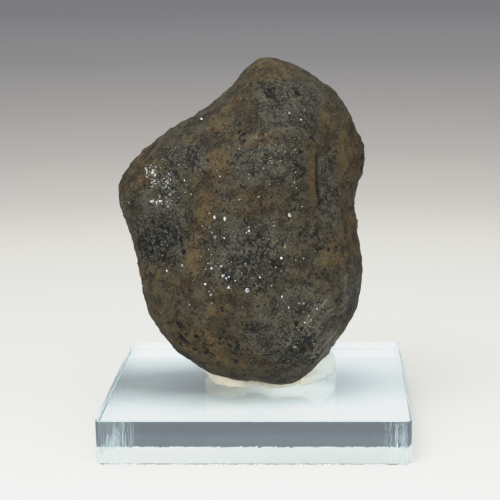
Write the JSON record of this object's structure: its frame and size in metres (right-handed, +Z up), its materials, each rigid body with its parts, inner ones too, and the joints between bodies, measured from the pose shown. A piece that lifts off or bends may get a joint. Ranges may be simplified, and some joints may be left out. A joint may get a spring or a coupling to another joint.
{
  "type": "polymetallic manganese nodule on a clear base",
  "caption": "Dark, lumpy manganese nodule held upright by a lump of white mineral tack on a square clear acrylic display base.",
  "frame": {"origin": "the middle of the acrylic base's underside, on the surface it stands on", "axes": "+Z up, through the base and the nodule; +Y from the front, the side the picture shows, to the back; +X to the right"},
  "size_m": [0.0888, 0.0888, 0.1105],
  "materials": {
    "manganese_crust": "dark brown-grey, gritty and mostly matte, with rusty brown stains and small bright mineral grains",
    "mineral_tack": "creamy white, soft and waxy",
    "clear_acrylic": "clear and polished, with fine saw marks on the cut sides"
  },
  "bodies": {
    "root": {"nodule": "manganese_crust", "mounting_putty": "mineral_tack", "acrylic_base": "clear_acrylic"}
  },
  "joints": []
}
